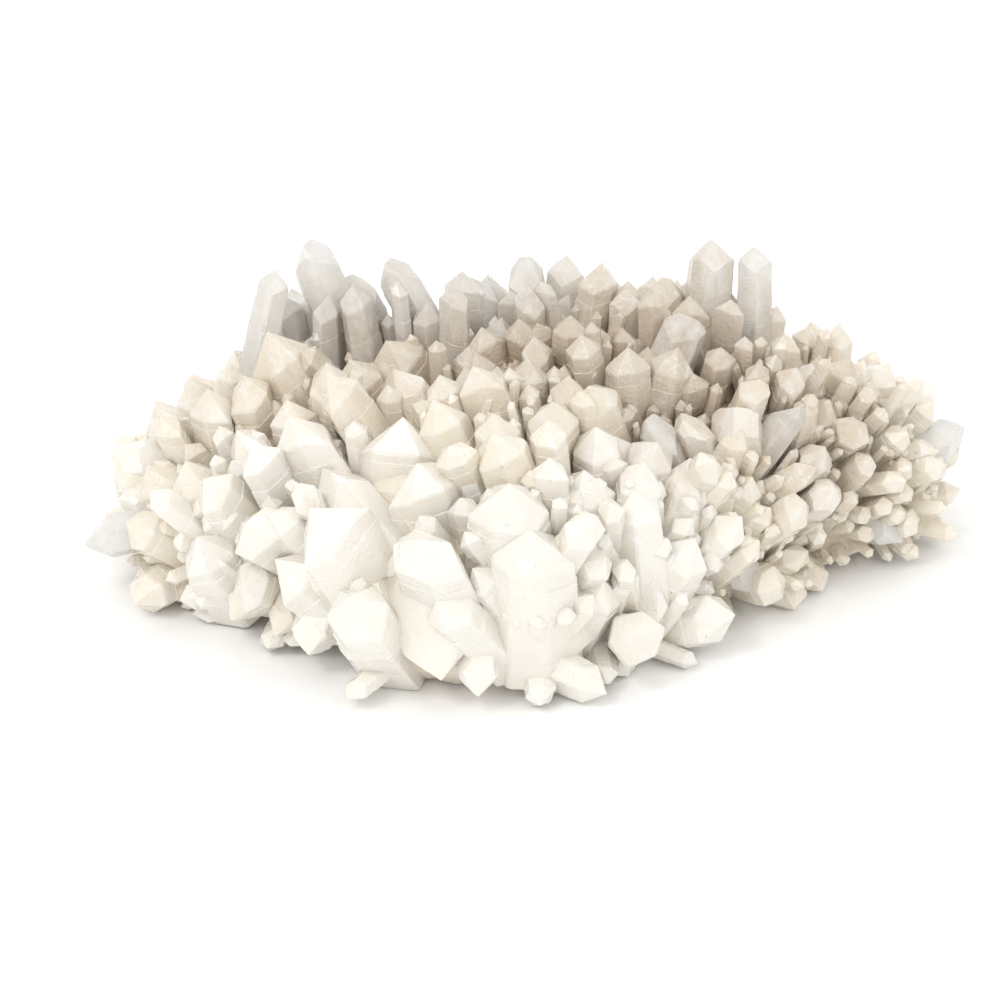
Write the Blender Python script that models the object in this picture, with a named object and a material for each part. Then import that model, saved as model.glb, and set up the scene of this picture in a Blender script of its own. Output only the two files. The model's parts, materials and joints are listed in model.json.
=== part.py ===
"""Quartz crystal cluster: a milky matrix carrying the crystals that grew out of it.

Every crystal is a six-sided prism closed by six rhombohedral faces.  It stands on a root point
inside the matrix and reaches a tip point outside it.  A root point whose root end would show is
drawn towards the spine of the matrix until that end is buried.  Where two crystals meet, the lesser
one is cut back around the greater one, and the matrix is socketed around them all.

The table and the outline are laid out on a bench frame: x to the right, y from the front point of
the cluster to its back, z up from the resting face, all in millimetres.  The finished cluster is
moved so that the middle of its resting face is the world origin.
"""

import math
import random
from collections import namedtuple

import bmesh
import bpy
import numpy as np
from mathutils import Matrix, Vector, noise

OBJECT_NAME = "quartz_crystal_cluster"
MM = 0.001

# Driving dimensions, in millimetres.
CREST_HEIGHT = 40.0
WAIST_HEIGHT = 8.0
UNDERCUT_DEPTH = 12.0
PLAN_CENTRE = Vector((0.0, 60.0, 0.0))
CONTACT_GAP = 0.3

# Plan of the matrix, counter-clockwise, on a cluster 180 mm wide.
MATRIX_OUTLINE = (
    (80, 77), (78, 85), (67, 91), (45, 95), (0, 97), (-46, 92), (-60, 83), (-70, 73), (-77, 62),
    (-76, 52), (-60, 44), (-47, 35), (-34, 21), (-18, 12), (2, 16), (18, 25), (30, 36), (38, 46),
    (50, 58), (68, 66),
)
# Midline of the matrix in plan. A root end that would stand outside the matrix is drawn towards it.
SPINE = ((-60, 63), (0, 57), (60, 78))
SINK_STEPS = 40
# Greatest share of the way from the heart to the surface at which a root end may lie.
BURIED_SHARE = 0.98
# Fullness of the mound: 1 is an ellipsoid, less is squarer.
MOUND_EXPONENT = 0.8
MOUND_SUBDIVISIONS = 4
# Noise frequency for each millimetre, and height in millimetres, of each size of lump.
LUMPS = ((0.07, 3.0), (0.2, 1.3))

# Quartz: the rhombohedral faces' normals lean 51.8 degrees from the crystal's long axis.
RHOMB_LEAN = math.radians(51.8)
PRISM_SIDES = 6
SIDE_TURN = 360 // PRISM_SIDES
ROOT_SWELL = 1.06

# How far each rhombohedral face sits below the tip, as a share of the crystal's radius.
TERMINATIONS = {
    "even": (0.0, 0.08, 0.0, 0.12, 0.05, 0.0),
    "rhomb": (0.0, 0.42, 0.05, 0.5, 0.0, 0.36),
    "chisel": (0.0, 0.62, 0.15, 0.05, 0.7, 0.2),
    "slant": (0.95, 0.35, 0.0, 0.1, 0.0, 0.45),
    "blunt": (0.25, 0.6, 0.1, 0.75, 0.2, 0.5),
}

# Small crystals of the crust that covers the matrix between the named crystals.
CRUST_COUNT = 176
CRUST_RADIUS = (2.6, 4.6)
CRUST_FLAT = (0.75, 1.0)
CRUST_LENGTH = (12.0, 17.0)
CRUST_BURIAL = 7.0
CRUST_LOWEST_TIP = 1.5
CRUST_STRAY = 0.3
CRUST_UPTURN = 0.8
CRUST_SEED = 11
# The back row: crust crystals near this line grow longer and stand up.
BACK_ROW_Y = 82.0
BACK_ROW_HALF_DEPTH = 14.0
BACK_ROW_EXTRA_LENGTH = 9.0
GOLDEN_ANGLE = math.pi * (3.0 - math.sqrt(5.0))

Finish = namedtuple("Finish", "colour roughness")
FINISHES = {
    "clear": Finish((0.70, 0.69, 0.66, 1.0), 0.12),
    "grey": Finish((0.62, 0.61, 0.57, 1.0), 0.2),
    "cream": Finish((0.80, 0.74, 0.62, 1.0), 0.3),
    "milky": Finish((0.87, 0.84, 0.79, 1.0), 0.32),
    "beige": Finish((0.74, 0.67, 0.56, 1.0), 0.38),
    "matrix": Finish((0.78, 0.72, 0.62, 1.0), 0.55),
}

Crystal = namedtuple("Crystal", "name root tip radius flat turn end finish")
# Greater crystals come first: a later one gives way where it meets an earlier one.
CRYSTALS = [Crystal(*row) for row in (
    ("back_left_tall_crystal", (-33, 82, 30), (-47, 88, 65), 5.4, 0.95, 10, "chisel", "clear"),
    ("back_right_dome_crystal", (34, 84, 30), (37, 93, 63), 5.0, 1.0, 25, "blunt", "grey"),
    ("back_right_tall_crystal", (45, 84, 30), (45, 91, 61), 4.1, 0.95, 0, "rhomb", "clear"),
    ("back_left_sparkling_crystal", (-14, 78, 32), (-31, 87, 61), 5.0, 0.9, 15, "chisel", "clear"),
    ("back_striated_crystal", (1, 86, 30), (-2, 90, 59), 4.4, 0.9, 20, "slant", "clear"),
    ("back_rounded_crystal", (5, 92, 30), (8, 97, 57), 4.8, 1.0, 5, "blunt", "grey"),
    ("back_centre_clear_crystal", (-7, 82, 30), (-14, 89, 57), 5.4, 0.95, 30, "blunt", "clear"),
    ("back_left_slender_crystal", (-60, 80, 28), (-51, 84, 59), 3.8, 0.9, 40, "rhomb", "clear"),
    ("right_leaning_prism", (38, 48, 26), (54, 57, 44), 4.4, 0.9, 12, "slant", "clear"),
    ("front_great_crystal", (-15, 15, 9), (-27, 22, 35), 8.2, 0.9, 18, "rhomb", "milky"),
    ("front_left_hex_crystal", (-24, 25, 22), (-43, 38, 40), 6.4, 0.85, 30, "rhomb", "milky"),
    ("front_slab_crystal", (-18, 33, 26), (-34, 45, 44), 7.4, 0.75, 8, "slant", "cream"),
    ("centre_crown_crystal", (-9, 27, 18), (-17, 38, 42), 6.6, 0.95, 30, "even", "cream"),
    ("centre_white_crystal", (18, 40, 22), (15, 46, 47), 8.4, 0.9, 0, "blunt", "milky"),
    ("centre_striated_crystal", (11, 25, 14), (4, 36, 39), 5.4, 0.85, 25, "slant", "cream"),
    ("front_middle_crystal", (1, 16, 7), (-7, 17, 29), 7.4, 0.9, 35, "chisel", "milky"),
    ("front_point_crystal", (-18, 26, 22), (-19, 3, 5), 7.4, 0.85, 20, "blunt", "milky"),
    ("front_right_broad_crystal", (19, 20, 9), (9, 26, 33), 6.8, 0.9, 12, "chisel", "milky"),
    ("front_right_blunt_crystal", (3, 28, 20), (1, 8, 6), 7.0, 0.85, 0, "blunt", "milky"),
    ("front_right_low_crystal", (19, 38, 19), (23, 17, 7), 6.6, 0.85, 28, "blunt", "milky"),
    ("front_block_crystal", (-15, 25, 22), (-28, 34, 39), 6.2, 0.8, 40, "chisel", "cream"),
    ("front_toe_crystal", (-10, 22, 16), (-11, 5, 5), 4.6, 0.9, 15, "even", "milky"),
    ("left_front_long_crystal", (-36, 34, 23), (-45, 17, 5), 5.4, 0.9, 22, "rhomb", "milky"),
    ("left_front_foot_crystal", (-28, 28, 23), (-35, 9, 5), 5.6, 0.9, 50, "blunt", "milky"),
    ("left_rim_hex_crystal", (-47, 45, 18), (-60, 32, 6), 4.4, 1.0, 8, "even", "cream"),
    ("left_rim_point_crystal", (-41, 41, 18), (-51, 26, 6), 4.3, 1.0, 26, "even", "cream"),
    ("left_end_crystal", (-66, 55, 18), (-90, 50, 13), 4.8, 0.95, 14, "even", "clear"),
    ("left_high_block_crystal", (-66, 62, 20), (-87, 63, 30), 5.8, 0.9, 33, "blunt", "milky"),
    ("left_low_block_crystal", (-62, 58, 18), (-86, 55, 21), 4.8, 0.9, 3, "blunt", "milky"),
    ("left_upper_crystal", (-65, 66, 20), (-79, 70, 34), 5.4, 0.9, 21, "blunt", "milky"),
    ("left_shoulder_crystal", (-58, 72, 22), (-70, 76, 40), 5.8, 0.85, 45, "slant", "cream"),
    ("left_back_block_crystal", (-54, 78, 24), (-61, 84, 43), 5.6, 0.9, 17, "blunt", "cream"),
    ("left_slope_block_crystal", (-49, 50, 20), (-54, 58, 40), 6.6, 0.9, 9, "blunt", "cream"),
    ("left_slope_pale_crystal", (-58, 54, 18), (-66, 60, 36), 5.8, 0.85, 38, "slant", "cream"),
    ("centre_left_slender_crystal", (-6, 37, 24), (-9, 47, 45), 3.9, 0.9, 11, "rhomb", "cream"),
    ("centre_right_slender_crystal", (2, 36, 24), (-4, 45, 45), 3.9, 0.9, 27, "rhomb", "clear"),
    ("centre_sparkling_crystal", (-16, 54, 28), (-18, 59, 47), 6.2, 0.9, 19, "chisel", "clear"),
    ("centre_beige_crystal", (-24, 58, 28), (-28, 67, 49), 7.0, 0.9, 2, "blunt", "beige"),
    ("right_ridge_first_crystal", (32, 36, 20), (23, 47, 46), 4.5, 0.9, 6, "slant", "clear"),
    ("right_ridge_second_crystal", (39, 37, 20), (30, 48, 46), 4.4, 0.9, 31, "slant", "milky"),
    ("right_ridge_peak_crystal", (44, 42, 22), (39, 49, 47), 5.6, 0.9, 13, "rhomb", "milky"),
    ("right_slope_upper_crystal", (49, 52, 18), (58, 53, 34), 4.4, 0.95, 24, "even", "milky"),
    ("right_slope_lower_crystal", (50, 48, 13), (60, 47, 28), 4.2, 0.95, 4, "even", "milky"),
    ("right_rim_near_crystal", (36, 50, 15), (45, 40, 7), 4.4, 0.95, 16, "even", "clear"),
    ("right_rim_far_crystal", (63, 67, 13), (75, 61, 7), 4.0, 0.95, 36, "even", "clear"),
    ("right_end_crystal", (72, 77, 15), (90, 80, 24), 5.0, 0.9, 7, "rhomb", "clear"),
    ("right_end_upper_crystal", (69, 79, 17), (84, 86, 32), 4.6, 0.9, 29, "blunt", "milky"),
    ("right_back_crystal", (62, 79, 20), (75, 86, 37), 4.8, 0.9, 42, "blunt", "milky"),
    ("right_shoulder_crystal", (56, 74, 22), (66, 80, 40), 5.2, 0.9, 1, "slant", "milky"),
    ("right_upper_crystal", (51, 70, 24), (58, 77, 43), 5.2, 0.9, 23, "blunt", "milky"),
    ("right_back_block_crystal", (44, 73, 26), (50, 80, 46), 5.4, 0.9, 48, "blunt", "beige"),
    ("back_right_glossy_crystal", (21, 63, 30), (33, 75, 55), 5.2, 0.85, 20, "chisel", "clear"),
    ("back_beige_block_crystal", (12, 83, 30), (13, 88, 57), 5.8, 0.9, 34, "blunt", "beige"),
    ("back_beige_pointed_crystal", (18, 75, 30), (19, 82, 56), 4.2, 0.9, 10, "rhomb", "beige"),
    ("back_right_peak_crystal", (25, 84, 30), (26, 90, 55), 5.0, 0.9, 26, "slant", "beige"),
    ("back_left_grey_crystal", (-27, 85, 30), (-38, 92, 54), 4.6, 0.9, 32, "slant", "grey"),
    ("rear_left_leaning_crystal", (-38, 86, 22), (-50, 103, 38), 5.0, 0.9, 14, "even", "milky"),
    ("rear_middle_leaning_crystal", (-4, 88, 22), (-8, 107, 37), 5.2, 0.9, 39, "rhomb", "clear"),
    ("rear_right_leaning_crystal", (50, 86, 18), (60, 104, 31), 4.8, 0.9, 5, "even", "milky"),
)]


def clear_scene():
    """Take every object out of the scene."""
    for old in list(bpy.data.objects):
        bpy.data.objects.remove(old, do_unlink=True)


def make_material(name, finish):
    """A Principled material of the finish's colour and roughness."""
    material = bpy.data.materials.new(name)
    material.use_nodes = True
    shader = material.node_tree.nodes["Principled BSDF"]
    shader.inputs["Base Color"].default_value = finish.colour
    shader.inputs["Roughness"].default_value = finish.roughness
    shader.inputs["Metallic"].default_value = 0.0
    return material


def add_object(name, bm, collection):
    """Write a bmesh in millimetres into a new object in metres."""
    bmesh.ops.transform(bm, matrix=Matrix.Scale(MM, 4), verts=bm.verts)
    mesh = bpy.data.meshes.new(name)
    bm.to_mesh(mesh)
    bm.free()
    piece = bpy.data.objects.new(name, mesh)
    collection.objects.link(piece)
    return piece


def cut_by_plane(bm, point, normal):
    """Take away what lies beyond a plane and close the cut."""
    geometry = bm.verts[:] + bm.edges[:] + bm.faces[:]
    cut = bmesh.ops.bisect_plane(bm, geom=geometry, plane_co=point, plane_no=normal, clear_outer=True)
    rim = [item for item in cut["geom_cut"] if isinstance(item, bmesh.types.BMEdge)]
    if rim:
        bmesh.ops.edgeloop_fill(bm, edges=rim)


def crystal_shape(radius, length, flat, end, margin=0.0):
    """A prism along +Z with its root at the origin, grown outwards on every face by the margin."""
    corner = radius + margin / math.cos(math.pi / PRISM_SIDES)
    bm = bmesh.new()
    bmesh.ops.create_cone(
        bm, cap_ends=True, segments=PRISM_SIDES, radius1=corner * ROOT_SWELL, radius2=corner,
        depth=length + 2 * radius + margin,
        matrix=Matrix.Translation((0, 0, (length + 2 * radius - margin) / 2)),
    )
    for side, drop in enumerate(TERMINATIONS[end]):
        around = (side + 0.5) * 2 * math.pi / PRISM_SIDES
        lean = math.sin(RHOMB_LEAN)
        normal = Vector((lean * math.cos(around), lean * math.sin(around), math.cos(RHOMB_LEAN)))
        height = length - drop * radius + margin / math.cos(RHOMB_LEAN)
        cut_by_plane(bm, Vector((0, 0, height)), normal)
    bmesh.ops.transform(bm, matrix=Matrix.Diagonal((1.0, flat, 1.0, 1.0)), verts=bm.verts)
    bmesh.ops.recalc_face_normals(bm, faces=bm.faces)
    return bm


def aim(piece, root, tip, turn):
    """Stand a piece on its root point, point it at its tip and turn it about its own axis."""
    along = Vector(tip) - Vector(root)
    piece.rotation_mode = "QUATERNION"
    twist = Matrix.Rotation(math.radians(turn), 3, "Z").to_quaternion()
    piece.rotation_quaternion = along.to_track_quat("Z", "Y") @ twist
    piece.location = Vector(root) * MM


def add_crystal(crystal, collection, margin=0.0):
    """One crystal of the table, or its enlarged copy when a margin is given."""
    root = buried_root(crystal)
    length = (Vector(crystal.tip) - root).length
    bm = crystal_shape(crystal.radius, length, crystal.flat, crystal.end, margin)
    suffix = "_socket" if margin else ""
    piece = add_object(crystal.name + suffix, bm, collection)
    aim(piece, root, crystal.tip, crystal.turn)
    return piece


def plan_reach(angle):
    """Distance from the plan centre to the matrix's outline at an angle, in millimetres."""
    offsets = np.array(MATRIX_OUTLINE, dtype=float) - np.array(PLAN_CENTRE[:2])
    angles = np.arctan2(offsets[:, 1], offsets[:, 0])
    return float(np.interp(angle, angles, np.hypot(offsets[:, 0], offsets[:, 1]), period=2 * math.pi))


def mound_point(direction):
    """The point of the smooth mound that a unit direction maps to."""
    level = math.hypot(direction.x, direction.y)
    angle = math.atan2(direction.y, direction.x)
    reach = plan_reach(angle) * level ** MOUND_EXPONENT
    rise = math.copysign(abs(direction.z) ** MOUND_EXPONENT, direction.z)
    depth = CREST_HEIGHT - WAIST_HEIGHT if rise > 0 else UNDERCUT_DEPTH
    plan = PLAN_CENTRE + Vector((math.cos(angle), math.sin(angle), 0.0)) * reach
    return Vector((plan.x, plan.y, WAIST_HEIGHT + rise * depth))


def mound_share(point):
    """How far out a point lies: 0 at the heart of the smooth mound and 1 on its surface."""
    offset = point - PLAN_CENTRE
    reach = plan_reach(math.atan2(offset.y, offset.x))
    rise = point.z - WAIST_HEIGHT
    depth = CREST_HEIGHT - WAIST_HEIGHT if rise > 0 else UNDERCUT_DEPTH
    level = (math.hypot(offset.x, offset.y) / reach) ** (1.0 / MOUND_EXPONENT)
    return math.hypot(level, (abs(rise) / depth) ** (1.0 / MOUND_EXPONENT))


def root_is_buried(root, tip, radius):
    """Whether the whole rim of a crystal's root end lies inside the smooth mound."""
    turn = (tip - root).to_track_quat("Z", "Y")
    for side in range(2 * PRISM_SIDES):
        around = side * math.pi / PRISM_SIDES
        corner = Vector((math.cos(around), math.sin(around), 0.0)) * radius * ROOT_SWELL
        if mound_share(root + turn @ corner) > BURIED_SHARE:
            return False
    return True


def buried_root(crystal):
    """The crystal's root, drawn towards the spine until its whole root end is inside the mound."""
    start = Vector(crystal.root)
    tip = Vector(crystal.tip)
    spine_y = float(np.interp(start.x, *zip(*SPINE)))
    spine = Vector((start.x, spine_y, WAIST_HEIGHT))
    for step in range(SINK_STEPS):
        root = start.lerp(spine, step / SINK_STEPS)
        if root_is_buried(root, tip, crystal.radius):
            return root
    return start


def lumpy(point):
    """Push a point of the mound in or out by two sizes of lump."""
    outward = (point - PLAN_CENTRE).normalized()
    push = sum(height * noise.noise(point * pitch) for pitch, height in LUMPS)
    return point + outward * push


def matrix_mound(collection):
    """The matrix without its crust: a lumpy mound with a flat resting face."""
    bm = bmesh.new()
    bmesh.ops.create_icosphere(bm, subdivisions=MOUND_SUBDIVISIONS, radius=1.0)
    for vert in bm.verts:
        vert.co = lumpy(mound_point(vert.co.normalized()))
    cut_by_plane(bm, Vector((0, 0, 0)), Vector((0, 0, -1)))
    bmesh.ops.recalc_face_normals(bm, faces=bm.faces)
    return add_object("matrix", bm, collection)


def back_row_share(foot):
    """How much a foot belongs to the back row: 1 on its line, 0 beyond its half depth."""
    return max(0.0, 1.0 - abs(foot.y - BACK_ROW_Y) / BACK_ROW_HALF_DEPTH)


def add_crust(collection):
    """Small crystals spread evenly over the mound by the golden angle, leaning outwards and up."""
    chance = random.Random(CRUST_SEED)
    crust = []
    for number in range(CRUST_COUNT):
        rise = (number + 0.5) / CRUST_COUNT
        level = math.sqrt(1.0 - rise * rise)
        around = number * GOLDEN_ANGLE
        direction = Vector((level * math.cos(around), level * math.sin(around), rise))
        foot = lumpy(mound_point(direction))
        stray = Vector([chance.uniform(-CRUST_STRAY, CRUST_STRAY) for _ in range(3)])
        in_row = back_row_share(foot) * direction.z
        upturn = Vector((0.0, 0.0, CRUST_UPTURN * (direction.z + in_row)))
        outward = (direction + upturn + stray * (1.0 - in_row)).normalized()
        radius = chance.uniform(*CRUST_RADIUS)
        length = chance.uniform(*CRUST_LENGTH) + BACK_ROW_EXTRA_LENGTH * in_row
        root = foot - outward * CRUST_BURIAL
        tip = root + outward * length
        if tip.z - radius < CRUST_LOWEST_TIP:
            continue
        end = chance.choice(sorted(TERMINATIONS))
        bm = crystal_shape(radius, length, chance.uniform(*CRUST_FLAT), end)
        small = add_object(f"crust_{number}", bm, collection)
        aim(small, root, tip, chance.uniform(0, SIDE_TURN))
        crust.append(small)
    return crust


def world_box(piece):
    """Lowest and highest corners of an object in world space."""
    corners = np.array([piece.matrix_world @ Vector(corner) for corner in piece.bound_box])
    return corners.min(axis=0), corners.max(axis=0)


def boxes_meet(one, other):
    """Whether two objects' boxes overlap."""
    low_one, high_one = world_box(one)
    low_other, high_other = world_box(other)
    return bool(np.all(low_one < high_other) and np.all(low_other < high_one))


def keep_greatest_body(mesh):
    """Delete every loose body of a mesh but the one with the greatest volume."""
    bm = bmesh.new()
    bm.from_mesh(mesh)
    bodies = []
    unseen = set(bm.faces)
    while unseen:
        front = [unseen.pop()]
        body = list(front)
        while front:
            near = {face for edge in front.pop().edges for face in edge.link_faces} & unseen
            unseen -= near
            front.extend(near)
            body.extend(near)
        bodies.append(body)
    if len(bodies) > 1:
        bodies.sort(key=body_volume)
        scraps = [face for body in bodies[:-1] for face in body]
        bmesh.ops.delete(bm, geom=scraps, context="FACES")
    bm.to_mesh(mesh)
    bm.free()


def body_volume(faces):
    """Volume enclosed by a closed set of faces, fanned from each face's first corner."""
    total = 0.0
    for face in faces:
        corners = [vert.co for vert in face.verts]
        for one, two in zip(corners[1:], corners[2:]):
            total += corners[0].dot(one.cross(two)) / 6.0
    return total


def combine(piece, tools, operation):
    """Join or cut a piece with every tool whose box meets it, and keep the result as its mesh."""
    for tool in tools:
        if boxes_meet(piece, tool):
            modifier = piece.modifiers.new(tool.name, "BOOLEAN")
            modifier.operation = operation
            modifier.solver = "EXACT"
            modifier.object = tool
    if not piece.modifiers:
        return
    graph = bpy.context.evaluated_depsgraph_get()
    result = bpy.data.meshes.new_from_object(piece.evaluated_get(graph))
    piece.modifiers.clear()
    old = piece.data
    result.name = piece.name
    piece.data = result
    bpy.data.meshes.remove(old)
    keep_greatest_body(result)


def rest_on_origin(pieces, holder):
    """Move the holder so that the middle of the cluster's resting face is the world origin."""
    places = np.array([piece.matrix_world @ vert.co for piece in pieces for vert in piece.data.vertices])
    low, high = places.min(axis=0), places.max(axis=0)
    holder.location = (-(low[0] + high[0]) / 2, -(low[1] + high[1]) / 2, -low[2])


def main():
    """Build the matrix and its crystals, fit them together and place the cluster."""
    clear_scene()
    parts = bpy.data.collections.new(OBJECT_NAME)
    cutters = bpy.data.collections.new("cutters")
    bpy.context.scene.collection.children.link(parts)
    bpy.context.scene.collection.children.link(cutters)

    crystals = [add_crystal(crystal, parts) for crystal in CRYSTALS]
    sockets = [add_crystal(crystal, cutters, CONTACT_GAP) for crystal in CRYSTALS]
    matrix = matrix_mound(parts)
    crust = add_crust(cutters)
    bpy.context.view_layer.update()

    combine(matrix, crust, "UNION")
    bpy.context.view_layer.update()
    combine(matrix, sockets, "DIFFERENCE")
    for number, piece in enumerate(crystals):
        combine(piece, sockets[:number], "DIFFERENCE")

    for piece, crystal in zip(crystals, CRYSTALS):
        piece.data.materials.clear()
        piece.data.materials.append(make_material(f"{crystal.name}_quartz", FINISHES[crystal.finish]))
    matrix.data.materials.clear()
    matrix.data.materials.append(make_material("matrix_quartz", FINISHES["matrix"]))

    for tool in sockets + crust:
        bpy.data.objects.remove(tool, do_unlink=True)
    bpy.data.collections.remove(cutters)

    holder = bpy.data.objects.new("cluster_frame", None)
    parts.objects.link(holder)
    for piece in crystals + [matrix]:
        piece.parent = holder
    bpy.context.view_layer.update()
    rest_on_origin(crystals + [matrix], holder)
    bpy.context.view_layer.update()


main()
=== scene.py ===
"""Looks of a quartz crystal cluster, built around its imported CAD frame.

Lengths are in metres in the frame of the CAD model, except where a name ends in _mm.
"""

import json
import logging
import math
from dataclasses import dataclass, field
from enum import Enum

import bpy
import numpy as np
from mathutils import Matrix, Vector


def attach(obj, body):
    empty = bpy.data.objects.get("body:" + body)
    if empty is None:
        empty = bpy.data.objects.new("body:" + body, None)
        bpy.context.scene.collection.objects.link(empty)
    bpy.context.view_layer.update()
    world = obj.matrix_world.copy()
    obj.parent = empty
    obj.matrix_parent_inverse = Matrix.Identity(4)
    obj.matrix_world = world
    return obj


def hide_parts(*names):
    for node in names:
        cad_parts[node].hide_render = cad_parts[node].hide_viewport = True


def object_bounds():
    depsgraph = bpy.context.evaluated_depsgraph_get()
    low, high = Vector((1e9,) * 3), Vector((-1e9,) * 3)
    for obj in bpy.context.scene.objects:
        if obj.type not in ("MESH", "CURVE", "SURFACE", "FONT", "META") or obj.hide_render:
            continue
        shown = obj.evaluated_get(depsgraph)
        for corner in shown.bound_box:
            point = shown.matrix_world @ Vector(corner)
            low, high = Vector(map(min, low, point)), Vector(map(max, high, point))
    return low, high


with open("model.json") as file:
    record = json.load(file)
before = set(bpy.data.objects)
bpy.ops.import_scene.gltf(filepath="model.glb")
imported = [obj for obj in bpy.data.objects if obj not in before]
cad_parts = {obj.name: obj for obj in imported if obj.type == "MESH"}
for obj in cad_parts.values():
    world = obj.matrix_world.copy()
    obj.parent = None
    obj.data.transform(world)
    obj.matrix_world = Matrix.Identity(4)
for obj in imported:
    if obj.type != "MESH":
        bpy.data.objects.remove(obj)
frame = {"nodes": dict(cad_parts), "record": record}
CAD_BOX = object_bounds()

LOG = logging.getLogger("quartz_cluster")
MM = 0.001
BODY = "root"
PRISM_SIDES = 6
RHOMB_LEAN = math.radians(51.8)
# Cosine of the angle between two normals above which their planes count as one.
SAME_PLANE = 0.99
# The golden angle, as a share of half a turn.
GOLDEN_SHARE = 3.0 - math.sqrt(5.0)


class Quartz(Enum):
    """The kinds of quartz in the cluster, by the record's material slots."""

    CLEAR = "clear_quartz"
    GREY = "grey_quartz"
    CREAM = "cream_quartz"
    MILKY = "milky_quartz"
    BEIGE = "beige_quartz"
    MATRIX = "matrix_quartz"


# ---------------------------------------------------------------- surfaces


def smooth_step(low: float, high: float, values: np.ndarray) -> np.ndarray:
    """Ease from 0 at low to 1 at high.

    Args:
        low: value where the result leaves 0.
        high: value where the result reaches 1.
        values: numbers to ease.

    Returns:
        3t^2 - 2t^3 of the clipped share t of the way from low to high.
    """
    share = np.clip((values - low) / (high - low), 0.0, 1.0)
    return share * share * (3.0 - 2.0 * share)


def wander(places: np.ndarray, pitch: float, seed: int) -> np.ndarray:
    """Smooth pseudo-random field built from a few sine waves of random direction.

    Args:
        places: points, shape (..., 3).
        pitch: typical distance between two crests, in the unit of the points.
        seed: choice of the waves.

    Returns:
        The mean of eight sines of the points' positions along eight directions, about -1 to 1.
    """
    chance = np.random.default_rng(seed)
    headings = chance.normal(size=(8, 3))
    headings /= np.linalg.norm(headings, axis=1, keepdims=True)
    rates = 2.0 * math.pi / (pitch * chance.uniform(0.6, 1.6, 8))
    phases = chance.uniform(0.0, 2.0 * math.pi, 8)
    along = places @ headings.T
    return np.sin(along * rates + phases).mean(axis=-1) * 2.0


def write_mesh(
    name: str, points: np.ndarray, faces: list, marks: dict, crease: float = 0.35
) -> bpy.types.Object:
    """Make an object from whole arrays of points and faces.

    Args:
        name: name of the object and its mesh.
        points: vertex places, shape (count, 3).
        faces: arrays of vertex numbers, each of shape (count, corners).
        marks: named point attributes, of shape (count,) or (count, 3).
        crease: angle between faces, in radians, above which their edge is sharp.

    Returns:
        The new object, at the origin, with its place in its mesh.
    """
    mesh = bpy.data.meshes.new(name)
    mesh.vertices.add(len(points))
    mesh.vertices.foreach_set("co", np.ascontiguousarray(points, dtype=np.float32).ravel())
    corners = np.concatenate([block.ravel() for block in faces])
    sizes = np.concatenate([np.full(len(block), block.shape[1]) for block in faces])
    mesh.loops.add(len(corners))
    mesh.loops.foreach_set("vertex_index", corners.astype(np.int32))
    mesh.polygons.add(len(sizes))
    mesh.polygons.foreach_set("loop_start", (np.cumsum(sizes) - sizes).astype(np.int32))
    mesh.update(calc_edges=True)
    for mark, values in marks.items():
        kind, key = ("FLOAT_VECTOR", "vector") if values.ndim == 2 else ("FLOAT", "value")
        layer = mesh.attributes.new(mark, kind, "POINT")
        layer.data.foreach_set(key, np.ascontiguousarray(values, dtype=np.float32).ravel())
    mesh.validate()
    mesh.shade_smooth()
    mesh.set_sharp_from_angle(angle=crease)
    piece = bpy.data.objects.new(name, mesh)
    bpy.context.scene.collection.objects.link(piece)
    return piece


def capped_faces(bodies: int, rows: int, columns: int) -> list:
    """Faces of grids that close round a body and end in a pole at each end.

    Each body's vertices are its rows of columns, first row lowest, then its low pole and high pole.

    Args:
        bodies: number of separate bodies.
        rows: rows of each body.
        columns: columns of each row, counter-clockwise seen from the high pole.

    Returns:
        An array of quads and an array of triangles, both facing outwards.
    """
    row, column = np.meshgrid(np.arange(rows - 1), np.arange(columns), indexing="ij")
    onward = (column + 1) % columns
    quads = np.stack([
        row * columns + column, row * columns + onward,
        (row + 1) * columns + onward, (row + 1) * columns + column,
    ], axis=-1).reshape(-1, 4)
    here = np.arange(columns)
    there = (here + 1) % columns
    low_pole = np.full(columns, rows * columns)
    top = (rows - 1) * columns
    fans = np.concatenate([
        np.stack([there, here, low_pole], axis=-1),
        np.stack([top + here, top + there, low_pole + 1], axis=-1),
    ])
    first = np.arange(bodies)[:, None, None] * (rows * columns + 2)
    return [(quads[None] + first).reshape(-1, 4), (fans[None] + first).reshape(-1, 3)]


# ---------------------------------------------------------------- crystals of the frame


def node_places(node: str) -> np.ndarray:
    """The vertices of a CAD node, in mm, shape (count, 3)."""
    mesh = frame["nodes"][node].data
    places = np.empty(len(mesh.vertices) * 3)
    mesh.vertices.foreach_get("co", places)
    return places.reshape(-1, 3) / MM


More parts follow.
